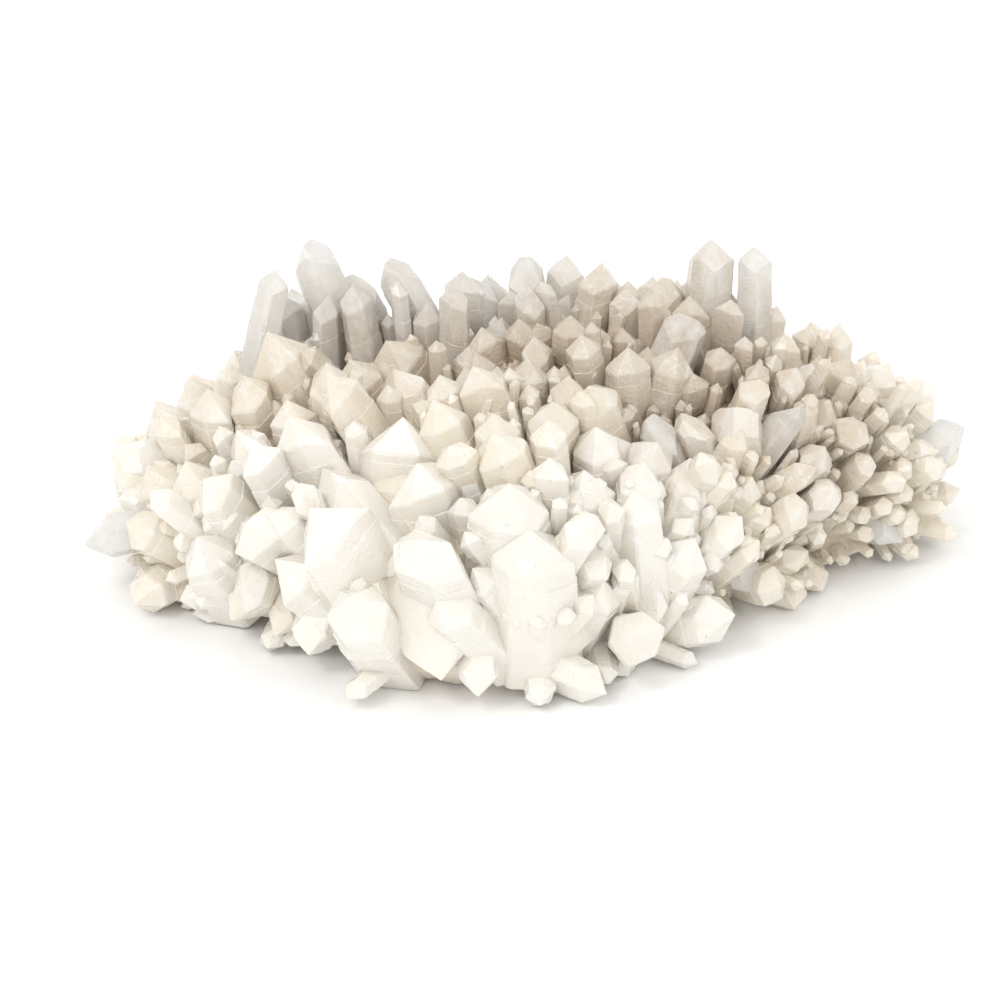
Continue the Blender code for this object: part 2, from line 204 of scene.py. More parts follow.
@dataclass
class FramePrism:
    """The plain prism that a CAD crystal is: its axis and the planes that bound it.

    A plane is a unit normal and its distance from the origin of the crystal's own axes, in mm.
    """

    node: str
    side_limit: float = 0.3
    snap_mm: float = 0.08
    least_area_mm2: float = 1e-3
    roof_tolerance: float = 0.12
    widest_gap: float = math.radians(95)
    basis: np.ndarray = field(init=False)
    centre: np.ndarray = field(init=False)
    sides: np.ndarray = field(init=False)
    roof: np.ndarray = field(init=False)
    root_z: float = field(init=False)

    def __post_init__(self) -> None:
        """Read the node's mesh and sort its bounding planes into sides and roof."""
        mesh = frame["nodes"][self.node].data
        mesh.calc_loop_triangles()
        places = node_places(self.node)
        corners = np.empty(len(mesh.loop_triangles) * 3, dtype=np.int32)
        mesh.loop_triangles.foreach_get("vertices", corners)
        corners = places[corners.reshape(-1, 3)]
        cross = np.cross(corners[:, 1] - corners[:, 0], corners[:, 2] - corners[:, 0])
        areas = np.linalg.norm(cross, axis=1)
        keep = areas > self.least_area_mm2
        normals, areas, firsts = cross[keep] / areas[keep, None], areas[keep], corners[keep, 0]
        spread = (normals * areas[:, None]).T @ normals
        axis = np.linalg.eigh(spread)[1][:, 0]
        lean = normals @ axis
        roofing = np.abs(np.abs(lean) - math.cos(RHOMB_LEAN)) < self.roof_tolerance
        if (areas[roofing] * np.sign(lean[roofing])).sum() < 0:
            axis, lean = -axis, -lean
        across = np.cross(axis, [0.0, 0.0, 1.0] if abs(axis[2]) < 0.9 else [1.0, 0.0, 0.0])
        across /= np.linalg.norm(across)
        self.basis = np.stack([across, np.cross(axis, across), axis])
        self.centre = places.mean(axis=0)
        local = (places - self.centre) @ self.basis.T
        turned = normals @ self.basis.T
        offsets = np.einsum("ij,ij->i", turned, (firsts - self.centre) @ self.basis.T)
        bounding = (local @ turned.T).max(axis=0) < offsets + self.snap_mm
        planes = np.column_stack([turned, offsets])[bounding]
        planes = self.merge(planes, areas[bounding])
        self.root_z = float(local[:, 2].min())
        self.sides = self.close_ring(planes[np.abs(planes[:, 2]) < self.side_limit], local)
        self.roof = planes[planes[:, 2] >= self.side_limit]

    def clearance(self, places: np.ndarray) -> np.ndarray:
        """How far places lie outside the prism.

        Args:
            places: points in mm in the object frame, shape (..., 3).

        Returns:
            The greatest of the distances beyond the bounding planes, negative inside.
        """
        planes = np.concatenate([self.sides, self.roof])
        own = (places - self.centre) @ self.basis.T
        beyond = (own @ planes[:, :3].T - planes[:, 3]).max(axis=-1)
        return np.maximum(beyond, self.root_z - own[..., 2])

    @staticmethod
    def merge(planes: np.ndarray, areas: np.ndarray) -> np.ndarray:
        """Join triangles that lie in one plane.

        Args:
            planes: normals and offsets, shape (count, 4).
            areas: area of each triangle.

        Returns:
            One row for each plane, the greatest first.
        """
        rows = []
        for index in np.argsort(-areas):
            if all(np.dot(planes[index, :3], row[:3]) < SAME_PLANE for row in rows):
                rows.append(planes[index])
        return np.array(rows)

    def close_ring(self, sides: np.ndarray, local: np.ndarray) -> np.ndarray:
        """Order the side planes round the axis and add a plane where a side was cut away.

        Args:
            sides: side planes, shape (count, 4).
            local: the node's vertices in its own axes.

        Returns:
            The side planes in counter-clockwise order, with no gap wider than widest_gap.
        """
        while True:
            angles = np.arctan2(sides[:, 1], sides[:, 0])
            sides = sides[np.argsort(angles)]
            angles = np.sort(angles)
            gaps = np.diff(np.append(angles, angles[0] + 2 * math.pi))
            widest = int(np.argmax(gaps))
            if gaps[widest] < self.widest_gap:
                return sides
            middle = angles[widest] + gaps[widest] / 2
            normal = np.array([math.cos(middle), math.sin(middle), 0.0])
            sides = np.vstack([sides, np.append(normal, (local @ normal).max())])


@dataclass
class DetailedCrystal:
    """One large crystal: the frame's prism with growth steps, wavy faces and chipped edges."""

    prism: FramePrism
    seed: int
    row_step_mm: float = 0.45
    cap_rows: int = 9
    bevel_mm: float = 0.16
    step_mm: float = 0.16
    wave_mm: float = 0.09
    chip_mm: float = 0.35
    side_shares: tuple = (0.0, 0.05, 0.2, 0.4, 0.6, 0.8, 0.95)

    def surface(self) -> tuple:
        """Work out the crystal's surface.

        Walls: each column stands on a share of the way between two corners of the prism, and
        rises from the root to the roof; a wall is set in by growth steps, long waves and chips.
        Roof: each column runs from the wall's top to the roof's peak; its height is the lowest
        of the roof planes above that place.

        Returns:
            Points of shape (rows * columns + 2, 3) in mm in the object frame, the same points in
            the crystal's own axes, the height share of each point, and rows and columns.
        """
        prism = self.prism
        chance = np.random.default_rng(self.seed)
        shares = np.tile(self.side_shares, len(prism.sides))
        side = np.repeat(np.arange(len(prism.sides)), len(self.side_shares))

        top = self.roof_height(prism, np.zeros((1, 2)))[0]
        peak = self.peak(prism, top)
        shoulder = np.full(len(side), top - 2.0)
        for _ in range(4):
            shoulder = self.roof_height(prism, self.wall(prism, side, shares, shoulder))
        rows = max(6, int((shoulder.mean() - prism.root_z) / self.row_step_mm))
        rise = np.linspace(0.0, 1.0, rows)[:, None]
        heights = prism.root_z + (shoulder[None] - prism.root_z) * rise
        walls = self.wall(prism, side[None], shares[None], heights)
        inset = self.inset(chance, prism, side, shares, heights, walls)
        distance = np.linalg.norm(walls, axis=-1)
        walls = walls * (1.0 - inset / distance)[..., None]
        walls = np.concatenate([walls, heights[..., None]], axis=-1)

        rim = walls[-1, :, :2]
        inward = np.linspace(1.0, 0.0, self.cap_rows + 1)[1:-1, None, None]
        cap = peak[None, None, :2] + inward * (rim[None] - peak[None, None, :2])
        roof = self.roof_height(prism, cap)
        roof += wander(np.concatenate([cap, roof[..., None]], axis=-1), 3.5, self.seed) * 0.05
        cap = np.concatenate([cap, roof[..., None]], axis=-1)
        walls[-1, :, 2] = self.roof_height(prism, rim) - 0.3 * self.bevel_mm
        grid = np.concatenate([walls, cap])
        low_pole = np.array([[0.0, 0.0, prism.root_z]])
        high_pole = np.append(peak[:2], self.roof_height(prism, peak[None, :2])[0] - 0.05)[None]
        own = np.concatenate([grid.reshape(-1, 3), low_pole, high_pole])
        growth = (own[:, 2] - prism.root_z) / (top - prism.root_z)
        placed = own @ prism.basis + prism.centre
        return placed, own, growth, grid.shape[0], grid.shape[1]

    @staticmethod
    def roof_height(prism: FramePrism, plan: np.ndarray) -> np.ndarray:
        """Height of the lowest roof plane above a place.

        Args:
            prism: the frame's prism.
            plan: places across the axis, shape (..., 2).

        Returns:
            The least of (offset - across part of the normal) / along part, over the roof planes.
        """
        planes = prism.roof
        return ((planes[:, 3] - plan @ planes[:, :2].T) / planes[:, 2]).min(axis=-1)

    def peak(self, prism: FramePrism, top: float) -> np.ndarray:
        """The roof's highest place inside the prism, found on a fine grid of the cross-section."""
        reach = np.abs(prism.sides[:, 3]).max()
        ticks = np.linspace(-reach, reach, 61)
        plan = np.stack(np.meshgrid(ticks, ticks), axis=-1).reshape(-1, 2)
        room = (prism.sides[:, 3] - plan @ prism.sides[:, :2].T - top * prism.sides[:, 2]).min(axis=-1)
        heights = np.where(room > 0.6, self.roof_height(prism, plan), -np.inf)
        best = int(np.argmax(heights))
        return np.array([plan[best, 0], plan[best, 1], heights[best]])

    @staticmethod
    def wall(prism: FramePrism, side: np.ndarray, shares: np.ndarray, heights: np.ndarray) -> np.ndarray:
        """Places on the prism's walls.

        Args:
            prism: the frame's prism.
            side: number of the side plane that each column lies on.
            shares: share of the way from the side's first corner to its second.
            heights: heights along the axis.

        Returns:
            Plan places: the mix of the side's two corners, each where two side planes meet.
        """
        count = len(prism.sides)

        def corner(first: np.ndarray) -> np.ndarray:
            """Where side plane first meets the next one, at the given heights."""
            one, two = prism.sides[first % count], prism.sides[(first + 1) % count]
            reach_one = one[..., 3] - one[..., 2] * heights
            reach_two = two[..., 3] - two[..., 2] * heights
            turn = one[..., 0] * two[..., 1] - one[..., 1] * two[..., 0]
            x = (reach_one * two[..., 1] - reach_two * one[..., 1]) / turn
            y = (one[..., 0] * reach_two - two[..., 0] * reach_one) / turn
            return np.stack([x, y], axis=-1)

        start, stop = corner(side - 1), corner(side)
        return start + (stop - start) * shares[..., None]

    def inset(
        self,
        chance: np.random.Generator,
        prism: FramePrism,
        side: np.ndarray,
        shares: np.ndarray,
        heights: np.ndarray,
        walls: np.ndarray,
    ) -> np.ndarray:
        """How far the walls are set in, in mm.

        Args:
            chance: source of the crystal's own variation.
            prism: the frame's prism.
            side: side plane of each column.
            shares: place of each column along its side.
            heights: height of each point.
            walls: plan place of each point.

        Returns:
            The sum of growth steps that narrow the prism with height, a long wave across the
            faces, a rounded corner, and chips where a wave along a corner is high.
        """
        count = len(prism.sides)
        low, high = prism.root_z, float(heights.max())
        levels = low + (high - low) * chance.uniform(0.3, 0.98, (count, 5))
        drops = self.step_mm * chance.uniform(0.1, 1.0, (count, 5)) ** 2
        near = np.abs(2.0 * shares - 1.0) ** 8 / 2.0
        other = np.where(shares < 0.5, side - 1, side + 1) % count

        def steps(number: np.ndarray) -> np.ndarray:
            """Growth steps of one side at every height."""
            over = smooth_step(-0.25, 0.25, heights[..., None] - levels[number][None])
            return (over * drops[number][None]).sum(axis=-1)

        total = steps(side) * (1.0 - near) + steps(other) * near
        places = np.concatenate([walls, heights[..., None] * 0.4], axis=-1)
        total += self.wave_mm * (0.5 + 0.5 * wander(places, 4.0, self.seed + 1))
        corner = np.where(shares == 0.0, 1.0, 0.0)
        total += corner * self.bevel_mm
        notch = np.abs(shares - np.round(shares)) < 0.07
        along = np.stack([side[None] * 7.0 + 0.0 * heights, heights, 0.0 * heights], axis=-1)
        total += self.chip_mm * notch * smooth_step(0.75, 1.4, wander(along, 2.6, self.seed + 2))
        return total


# ---------------------------------------------------------------- the matrix and its crust


@dataclass
class Mound:
    """The smooth mound that all the crystals grow from.

    Its plan is the outline of the CAD matrix's resting face, let out at the waist.
    """

    waist_mm: float = 8.0
    crest_mm: float = 39.0
    undercut_mm: float = 12.0
    fullness: float = 0.8
    let_out: float = 1.19
    lump_mm: tuple = ((30.0, 1.8), (11.0, 1.0))
    rough_mm: tuple = ((3.0, 0.35), (1.4, 0.2))
    rest_tolerance_mm: float = 0.05
    bearings: int = 48
    bearing_reach: float = math.radians(6)
    rows: int = 110
    columns: int = 260
    centre: np.ndarray = field(init=False)
    angles: np.ndarray = field(init=False)
    reaches: np.ndarray = field(init=False)

    def __post_init__(self) -> None:
        """Read the resting face's rim from the CAD matrix."""
        places = node_places("matrix")
        rim = places[places[:, 2] < self.rest_tolerance_mm, :2]
        low, high = rim.min(axis=0), rim.max(axis=0)
        self.centre = (low + high) / 2
        offsets = rim - self.centre
        angles = np.arctan2(offsets[:, 1], offsets[:, 0])
        reaches = np.hypot(offsets[:, 0], offsets[:, 1])
        slots = np.linspace(-math.pi, math.pi, self.bearings + 1)[:-1]
        apart = np.abs((angles[None] - slots[:, None] + math.pi) % (2 * math.pi) - math.pi)
        near = np.where(apart < self.bearing_reach, reaches[None], 0.0).max(axis=1)
        nearest = reaches[np.argmin(apart, axis=1)]
        self.angles, self.reaches = slots, np.where(near > 0, near, nearest) * self.let_out

    def points(self, directions: np.ndarray) -> np.ndarray:
        """Places on the mound, in mm.

        Args:
            directions: unit vectors from the mound's middle, shape (..., 3).

        Returns:
            Plan reach times the level part of the direction to a power below 1, and height from
            the waist times the upright part to the same power, then pushed out by the lumps.
        """
        level = np.hypot(directions[..., 0], directions[..., 1])
        angle = np.arctan2(directions[..., 1], directions[..., 0])
        reach = np.interp(angle, self.angles, self.reaches, period=2 * math.pi) * level ** self.fullness
        rise = np.sign(directions[..., 2]) * np.abs(directions[..., 2]) ** self.fullness
        depth = np.where(rise > 0, self.crest_mm - self.waist_mm, self.undercut_mm)
        plain = np.stack([
            self.centre[0] + reach * np.cos(angle), self.centre[1] + reach * np.sin(angle),
            self.waist_mm + rise * depth,
        ], axis=-1)
        for number, (pitch, height) in enumerate(self.lump_mm):
            plain = plain + directions * (wander(plain, pitch, 40 + number) * height)[..., None]
        plain[..., 2] = np.maximum(plain[..., 2], 0.0)
        return plain

    def normals(self, directions: np.ndarray) -> np.ndarray:
        """Outward normals of the mound, from its rise along two small turns of the direction."""
        east = np.cross([0.0, 0.0, 1.0], directions)
        east /= np.linalg.norm(east, axis=-1, keepdims=True) + 1e-9
        north = np.cross(directions, east)
        turn = 0.04

        def step(way: np.ndarray) -> np.ndarray:
            """Change of the surface point for a small turn each way."""
            ahead = directions + turn * way
            behind = directions - turn * way
            ahead /= np.linalg.norm(ahead, axis=-1, keepdims=True)
            behind /= np.linalg.norm(behind, axis=-1, keepdims=True)
            return self.points(ahead) - self.points(behind)

        outward = np.cross(step(east), step(north))
        return outward / (np.linalg.norm(outward, axis=-1, keepdims=True) + 1e-9)

    def build(self) -> bpy.types.Object:
        """The mound as one closed surface with a level resting face."""
        tilt = np.linspace(-0.5 * math.pi, 0.5 * math.pi, self.rows + 2)[1:-1, None]
        around = np.linspace(-math.pi, math.pi, self.columns + 1)[None, :-1]
        directions = np.stack([
            np.cos(tilt) * np.cos(around), np.cos(tilt) * np.sin(around), np.sin(tilt) + 0.0 * around,
        ], axis=-1)
        grid = self.points(directions)
        rough = sum(
            wander(grid, pitch, 51 + number) * height for number, (pitch, height) in enumerate(self.rough_mm)
        )
        clear = smooth_step(0.0, 1.5, grid[..., 2])
        grid = grid + directions * (rough * clear)[..., None]
        grid[..., 2] = np.maximum(grid[..., 2], 0.0)
        low = np.array([[self.centre[0], self.centre[1], 0.0]])
        high = self.points(np.array([[0.0, 0.0, 1.0]]))
        points = np.concatenate([grid.reshape(-1, 3), low, high])
        marks = {"own": points, "growth": np.zeros(len(points)), "tint": np.full(len(points), 0.5)}
        faces = capped_faces(1, self.rows, self.columns)
        return write_mesh("matrix_mound", points * MM, faces, marks)


@dataclass
class CrystalBatch:
    """Many small crystals worked out together as whole arrays.

    Each is a hexagonal prism with six roof faces; the arrays hold one row for each crystal.
    """

    roots: np.ndarray
    axes: np.ndarray
    radii: np.ndarray
    lengths: np.ndarray
    seed: int
    bevels: tuple
    rim_share: float = 0.04
    step_share: float = 0.035
    step_rise_mm: float = 0.12
    root_swell: float = 1.06
    uneven_share: float = 0.14
    flatness: tuple = (0.62, 1.0)
    drop_share: float = 0.2
    lesser_drop_share: float = 0.5
    taper: tuple = (0.8, 0.98)
    ledge_place: tuple = (0.45, 0.8)
    waist_share: float = 0.4
    highest_waist: float = 0.8
    crease: float = 0.12
    lowest_mm: float = 0.05

    def surface(self) -> tuple:
        """Work out every crystal's surface.

        A wall column stands beside a corner of the hexagon, the bevel share of a side away from
        it, and rises from the swollen root to the roof, set in once by a growth step.  The roof's
        height is the least, over its six planes, of the plane's height on the axis less the
        distance across times the slope; a plane's height on the axis is the crystal's length less
        its own drop.  Every roof face runs straight from the wall's top to the peak.

        Returns:
            Points of shape (crystals, points of each, 3) in mm, the same in own axes, the
            height share of each point, rows and columns.
        """
        chance = np.random.default_rng(self.seed)
        count = len(self.radii)
        size = self.radii[:, None, None]
        corner = np.arange(PRISM_SIDES) * 2 * math.pi / PRISM_SIDES
        hexagon = np.stack([np.cos(corner), np.sin(corner)], axis=-1)
        beside = [
            hexagon + abs(share) * (np.roll(hexagon, -1 if share > 0 else 1, axis=0) - hexagon)
            for share in self.bevels
        ]
        ring = np.stack(beside, axis=1).reshape(-1, 2)
        columns = len(ring)
        uneven = 1.0 + chance.uniform(-self.uneven_share, self.uneven_share, (count, PRISM_SIDES))
        uneven = np.repeat(uneven, len(self.bevels), axis=1)
        flat = np.stack([np.ones(count), chance.uniform(*self.flatness, count)], axis=-1)
        plan = ring[None] * uneven[..., None] * flat[:, None] * size

        facing = corner + math.pi / PRISM_SIDES
        facing = np.stack([np.cos(facing), np.sin(facing)], axis=-1)
        lesser = (np.arange(PRISM_SIDES)[None] + chance.integers(0, 2, (count, 1))) % 2
        drops = chance.uniform(0.0, self.drop_share, (count, PRISM_SIDES))
        drops += lesser * chance.uniform(0.0, self.lesser_drop_share, (count, 1))
        drops *= self.radii[:, None]
        slope = math.tan(RHOMB_LEAN)

        def roof(places: np.ndarray) -> np.ndarray:
            """Lowest roof plane above plan places of shape (crystals, places, 2)."""
            across = places @ facing.T * slope
            return (self.lengths[:, None, None] - drops[:, None] - across).min(axis=-1)

        tries = np.concatenate([np.zeros((1, 2)), 0.25 * hexagon, 0.45 * facing])
        tries = tries[None] * size
        best = np.argmax(roof(tries), axis=1)
        peak = tries[np.arange(count), best]
        taper = chance.uniform(*self.taper, (count, 1, 1))
        top = plan * taper
        shoulder = roof(top)
        rim = top * (1.0 - self.rim_share)
        place = chance.uniform(*self.ledge_place, (count, 1))
        waist = np.minimum(self.lengths[:, None] * self.waist_share, shoulder * self.highest_waist)
        ledge = waist + (shoulder - waist) * place
        below = plan + (top - plan) * place[..., None]
        above = below * (1.0 - self.step_share)
        rows = (
            (plan * self.root_swell, np.zeros((count, columns))),
            (below, ledge),
            (above, ledge + self.step_rise_mm),
            (top, shoulder - self.rim_share * size[..., 0]),
            (rim, roof(rim)),
        )
        grid = np.stack([np.dstack([across, rise]) for across, rise in rows], axis=1)
        low_pole = np.zeros((count, 1, 3))
        high_pole = np.concatenate([peak[:, None], roof(peak[:, None])[..., None]], axis=-1)
        own = np.concatenate([grid.reshape(count, -1, 3), low_pole, high_pole], axis=1)

        across = np.cross(self.axes, [0.31, 0.17, 0.93])
        across /= np.linalg.norm(across, axis=1, keepdims=True)
        second = np.cross(self.axes, across)
        turn = chance.uniform(0.0, math.pi, count)[:, None]
        first = across * np.cos(turn) + second * np.sin(turn)
        second = np.cross(self.axes, first)
        basis = np.stack([first, second, self.axes], axis=1)
        placed = own @ basis + self.roots[:, None]
        growth = own[..., 2] / self.lengths[:, None]
        return placed, own, growth, grid.shape[1], columns

    def build(self, name: str) -> bpy.types.Object:
        """Write the batch as one piece of separate closed crystals."""
        chance = np.random.default_rng(self.seed + 1)
        placed, own, growth, rows, columns = self.surface()
        count = len(self.radii)
        placed[..., 2] = np.maximum(placed[..., 2], self.lowest_mm)
        shift = chance.uniform(-500.0, 500.0, (count, 1, 3))
        tint = np.repeat(chance.uniform(0.0, 1.0, (count, 1)), placed.shape[1], axis=1)
        marks = {"own": (own + shift).reshape(-1, 3), "growth": growth.ravel(), "tint": tint.ravel()}
        faces = capped_faces(count, rows, columns)
        return write_mesh(name, placed.reshape(-1, 3) * MM, faces, marks, self.crease)


@dataclass
class Zone:
    """A stretch of the crust: where it lies and how its crystals grow."""

    name: str
    quartz: Quartz
    centre: tuple
    radius_mm: tuple
    length_mm: tuple
    lean: tuple


@dataclass
class Growth:
    """One generation of crust crystals: how many places are tried and how big they grow."""

    suffix: str
    tries: int
    seed: int
    spacing: float
    radius_share: float
    length_share: float
    stray: float
    clear_share: float
    bevels: tuple


@dataclass
class Crust:
    """The small crystals that cover the mound, sorted into zones by the nearest zone centre."""

    mound: Mound
    zones: tuple
    prisms: list
    low: np.ndarray
    high: np.ndarray
    lowest_rise: float = -0.45
    buried_share: float = 0.38
    drift_pitch_mm: float = 26.0
    drift_share: float = 0.35
    lowest_lean: float = -0.15
    longest_retreat: float = 0.4
    lowest_tip_mm: float = 1.0
    tested_shares: tuple = (0.6, 0.8, 1.0)

    def build(self, growth: Growth) -> list:
        """Scatter crystals evenly by the golden angle and build one piece for each zone.

        Args:
            growth: the generation to scatter.

        Returns:
            Pairs of a piece and its kind of quartz.
        """
        chance = np.random.default_rng(growth.seed)
        number = np.arange(growth.tries)
        rise = 1.0 - (1.0 - self.lowest_rise) * (number + 0.5) / growth.tries
        level = np.sqrt(1.0 - rise * rise)
        around = number * math.pi * GOLDEN_SHARE
        directions = np.stack([level * np.cos(around), level * np.sin(around), rise], axis=-1)
        order = chance.permutation(growth.tries)
        feet, normals = self.mound.points(directions)[order], self.mound.normals(directions)[order]
        centres = np.array([zone.centre for zone in self.zones])
        zone = np.argmin(np.linalg.norm(feet[:, None, :2] - centres[None], axis=-1), axis=1)
        least, most = np.array([place.radius_mm for place in self.zones])[zone].T * growth.radius_share
        radii = least + (most - least) * chance.uniform(0.0, 1.0, growth.tries) ** 1.5
        kept = self.thin_out(feet, radii, growth.spacing)
        feet, normals, zone, radii = feet[kept], normals[kept], zone[kept], radii[kept]

        lean = np.array([place.lean for place in self.zones])[zone]
        drift = np.stack(
            [wander(feet, self.drift_pitch_mm, growth.seed + 60 + axis) for axis in range(3)], axis=-1
        )
        steep = smooth_step(3.0, 11.0, feet[:, 2])[:, None]
        axes = normals + lean * steep + self.drift_share * drift
        axes += growth.stray * chance.normal(size=axes.shape)
        axes[:, 2] = np.maximum(axes[:, 2], self.lowest_lean)
        axes /= np.linalg.norm(axes, axis=1, keepdims=True)
        short, long = np.array([place.length_mm for place in self.zones])[zone].T * growth.length_share
        lengths = short + (long - short) * chance.uniform(0.0, 1.0, len(kept))
        roots = feet - axes * (self.buried_share * lengths)[:, None]
        tips = roots + axes * lengths[:, None]
        excess = np.maximum(np.maximum(tips - self.high, self.low - tips), 0.0)
        retreat = (excess / np.maximum(np.abs(axes), 0.15)).max(axis=1)
        roots -= axes * retreat[:, None]
        reach = lengths[:, None] * np.array(self.tested_shares)
        samples = roots[:, None] + axes[:, None] * reach[..., None]
        room = np.min([prism.clearance(samples).min(axis=1) for prism in self.prisms], axis=0)
        fits = (retreat < self.longest_retreat * lengths) & (room > growth.clear_share * radii)
        fits &= samples[:, -1, 2] > self.lowest_tip_mm
        pieces = []
        for index, place in enumerate(self.zones):
            here = (zone == index) & fits
            if not here.any():
                continue
            seed = growth.seed + 10 * index
            batch = CrystalBatch(roots[here], axes[here], radii[here], lengths[here], seed, growth.bevels)
            pieces.append((batch.build(place.name + growth.suffix), place.quartz))
            LOG.info("%s%s: %d crystals", place.name, growth.suffix, int(here.sum()))
        return pieces

    @staticmethod
    def thin_out(feet: np.ndarray, radii: np.ndarray, spacing: float) -> np.ndarray:
        """Choose crystals, widest first, that keep clear of those already chosen.

        Args:
            feet: places on the mound, in mm.
            radii: radius of each crystal.
            spacing: least distance between two feet, as a share of the mean of their radii.

        Returns:
            The numbers of the chosen crystals.
        """
        kept = []
        for index in np.argsort(-radii, kind="stable"):
            rivals = np.array(kept, dtype=int)
            apart = np.linalg.norm(feet[rivals] - feet[index], axis=1)
            if feet[index, 2] > 1.0 and (apart > spacing * 0.5 * (radii[rivals] + radii[index])).all():
                kept.append(index)
        return np.array(kept)


# ---------------------------------------------------------------- finishes

# White of the veils and healed cracks; on the cracks it also stands for painted glints.
VEIL_AND_GLINT_WHITE = (0.99, 0.98, 0.96, 1.0)
# Dark beige of the painted shade in the hollow right of the cluster's middle.
HOLLOW_SHADE_BEIGE = (0.62, 0.49, 0.35, 1.0)
SPECK_BROWN = (0.24, 0.17, 0.11, 1.0)
QUARTZ_IOR = 1.54
# Middle and half extents, in metres, of the hollow right of the cluster's middle, which is darkened with
# painted shade.
HOLLOW_CENTRE = (0.006, 0.011, 0.034)
HOLLOW_REACH = (0.09, 0.036, 0.045)


class NodeBoard:
    """Short ways to place and join nodes in one node tree."""

    def __init__(self, tree: bpy.types.NodeTree) -> None:
        """Work on the given tree."""
        self.tree = tree

    def add(self, kind: str, settings: dict | None = None, values: dict | None = None) -> bpy.types.Node:
        """Place a node.

        Args:
            kind: type name of the node.
            settings: properties to set on it.
            values: input sockets' values, or sockets to link in, by name or number.

        Returns:
            The new node.
        """
        node = self.tree.nodes.new(kind)
        for key, value in (settings or {}).items():
            setattr(node, key, value)
        for key, value in (values or {}).items():
            if isinstance(value, bpy.types.NodeSocket):
                self.tree.links.new(value, node.inputs[key])
            else:
                node.inputs[key].default_value = value
        return node

    def math(self, operation: str, first: object, second: object) -> bpy.types.NodeSocket:
        """A Math node's result on two values or sockets."""
        return self.add("ShaderNodeMath", {"operation": operation}, {0: first, 1: second}).outputs[0]

    def vector_math(self, operation: str, first: object, second: object) -> bpy.types.Node:
        """A Vector Math node on two vectors or sockets."""
        return self.add("ShaderNodeVectorMath", {"operation": operation}, {0: first, 1: second})

    def noise(self, place: object, scale: float, detail: float, **shape: float) -> bpy.types.NodeSocket:
        """A Noise Texture's value, with any further inputs by name."""
        values = {"Vector": place, "Scale": scale, "Detail": detail, **shape}
        return self.add("ShaderNodeTexNoise", None, values).outputs[0]

    def mark(self, name: str, output: str) -> bpy.types.NodeSocket:
        """One of the mesh's own attributes."""
        return self.add("ShaderNodeAttribute", {"attribute_name": name}).outputs[output]

    def blend(self, share: object, first: object, second: object) -> bpy.types.NodeSocket:
        """A mix of two colours."""
        node = self.add("ShaderNodeMix", {"data_type": "RGBA"}, {"Factor": share})
        for number, colour in ((6, first), (7, second)):
            if isinstance(colour, bpy.types.NodeSocket):
                self.tree.links.new(colour, node.inputs[number])
            else:
                node.inputs[number].default_value = colour
        return node.outputs[2]

    def ramp(self, value: object, low: float, high: float) -> bpy.types.NodeSocket:
        """A value mapped to 0 at low and 1 at high, clipped."""
        values = {"Value": value, "From Min": low, "From Max": high}
        return self.add("ShaderNodeMapRange", {"clamp": True}, values).outputs[0]


def new_group(name: str, inputs: dict, outputs: dict) -> tuple:
    """A shader node group with named sockets.

    Args:
        name: name of the group.
        inputs: socket type by input name.
        outputs: socket type by output name.

    Returns:
        The group's tree, a board on it, its input node and its output node.
    """
    tree = bpy.data.node_groups.new(name, "ShaderNodeTree")
    for label, kind in inputs.items():
        tree.interface.new_socket(name=label, in_out="INPUT", socket_type=kind)
    for label, kind in outputs.items():
        tree.interface.new_socket(name=label, in_out="OUTPUT", socket_type=kind)
    board = NodeBoard(tree)
    return tree, board, board.add("NodeGroupInput"), board.add("NodeGroupOutput")


def growth_line_group() -> bpy.types.NodeTree:
    """Fine lines across the long axis, an uneven skin, and patches of tiny sparkling facets."""
    tree, board, given, result = new_group(
        "growth_lines",
        {"Own": "NodeSocketVector", "Lines": "NodeSocketFloat", "Skin": "NodeSocketFloat"},
        {"Height": "NodeSocketFloat"},
    )
    own = given.outputs["Own"]
    stretched = board.vector_math("MULTIPLY", own, (0.12, 0.12, 1.0))
    lines = board.noise(stretched.outputs[0], 3.2, 3.0)
    skin = board.noise(own, 1.3, 5.0)
    facets = board.add("ShaderNodeTexVoronoi", None, {"Vector": own, "Scale": 1.5})
    patches = board.noise(own, 0.16, 3.0)
    druse = board.math("MULTIPLY", facets.outputs["Distance"], board.ramp(patches, 0.52, 0.6))
    smooth = board.math("MULTIPLY", lines, given.outputs["Lines"])
    rough = board.math("ADD", skin, board.math("MULTIPLY", druse, 2.0))
    total = board.math("ADD", smooth, board.math("MULTIPLY", rough, given.outputs["Skin"]))
    tree.links.new(total, result.inputs["Height"])
    return tree


def veil_and_glint_group() -> bpy.types.NodeTree:
    """White clouds and thin healed cracks inside the quartz, as a mask; the thin white cracks also stand for
    painted glints.
    """
    tree, board, given, result = new_group(
        "veils",
        {"Own": "NodeSocketVector", "Cover": "NodeSocketFloat"},
        {"Cloud": "NodeSocketFloat", "Crack Glint": "NodeSocketFloat"},
    )
    drawn_out = board.vector_math("MULTIPLY", given.outputs["Own"], (1.0, 1.0, 0.35))
    cloud = board.noise(drawn_out.outputs[0], 0.3, 5.0, Roughness=0.6, Distortion=0.6)
    shifted = board.math("ADD", cloud, given.outputs["Cover"])
    tree.links.new(board.ramp(shifted, 0.9, 1.2), result.inputs["Cloud"])
    # Thin white cracks: partly healed cracks, partly painted glints.
    sheet = board.noise(given.outputs["Own"], 0.16, 2.5, Distortion=1.2)
    off = board.math("ABSOLUTE", board.math("SUBTRACT", sheet, 0.5), 0.0)
    tree.links.new(board.ramp(off, 0.012, 0.0), result.inputs["Crack Glint"])
    return tree


